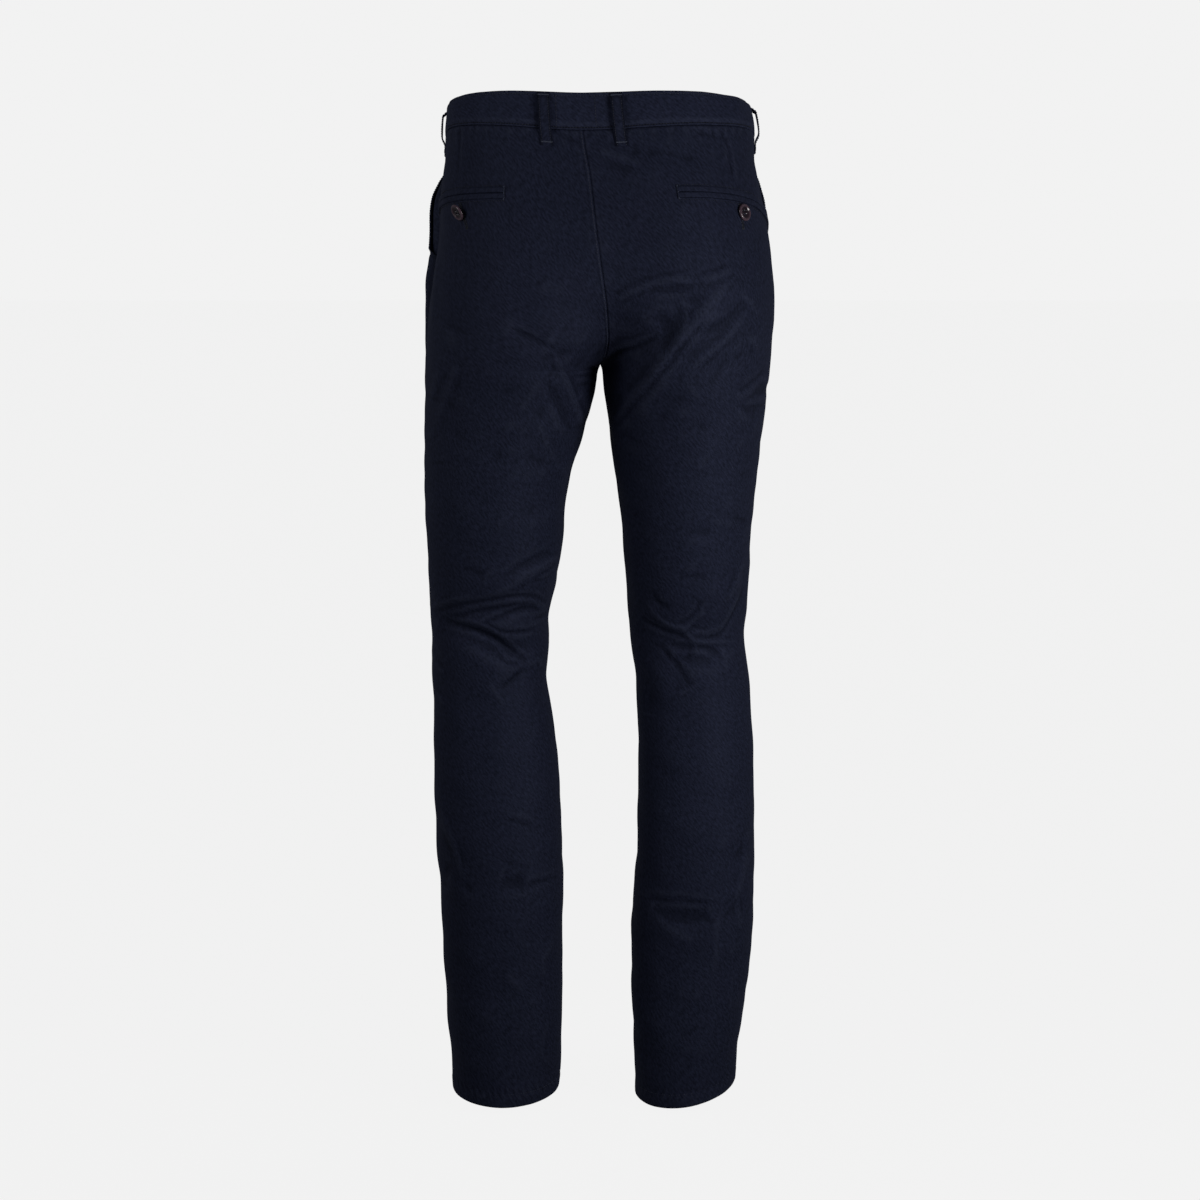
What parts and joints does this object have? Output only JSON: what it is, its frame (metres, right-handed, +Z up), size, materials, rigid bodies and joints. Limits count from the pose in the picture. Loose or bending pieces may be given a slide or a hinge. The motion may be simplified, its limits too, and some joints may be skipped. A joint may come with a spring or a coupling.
{
  "type": "chino trousers",
  "caption": "Slim straight-leg chino trousers, worn form with an open waist and hems, back welt pockets, slant front pockets, belt loops and a zip fly.",
  "frame": {"origin": "middle of the waist opening, level with the waistband's top edge, where the wearer holds the trousers up", "axes": "+Z up, -Y to the wearer's front, +X to the wearer's left"},
  "size_m": [0.3723, 0.2674, 1.0837],
  "materials": {
    "navy_twill": "dark navy cotton twill with a faint sheen, tone-on-tone stitching",
    "navy_tape": "navy woven zip tape",
    "zip_metal": "dulled metal zip teeth",
    "dark_horn": "polished dark horn-effect resin"
  },
  "bodies": {
    "root": {"back_left": "navy_twill", "back_right": "navy_twill", "front_left": "navy_twill", "front_right": "navy_twill", "pocket_facing_left": "navy_twill", "pocket_facing_right": "navy_twill", "hem_left": "navy_twill", "hem_right": "navy_twill", "welt_upper_left": "navy_twill", "welt_lower_left": "navy_twill", "welt_upper_right": "navy_twill", "welt_lower_right": "navy_twill", "waistband": "navy_twill", "belt_loop_back_left": "navy_twill", "belt_loop_back_right": "navy_twill", "belt_loop_side_left": "navy_twill", "belt_loop_side_right": "navy_twill", "belt_loop_front_left": "navy_twill", "belt_loop_front_right": "navy_twill", "fly_shield": "navy_twill", "zip_tape": "navy_tape", "zip_chain": "zip_metal", "back_button_left": "dark_horn", "back_button_right": "dark_horn", "waist_button": "dark_horn"}
  },
  "joints": []
}
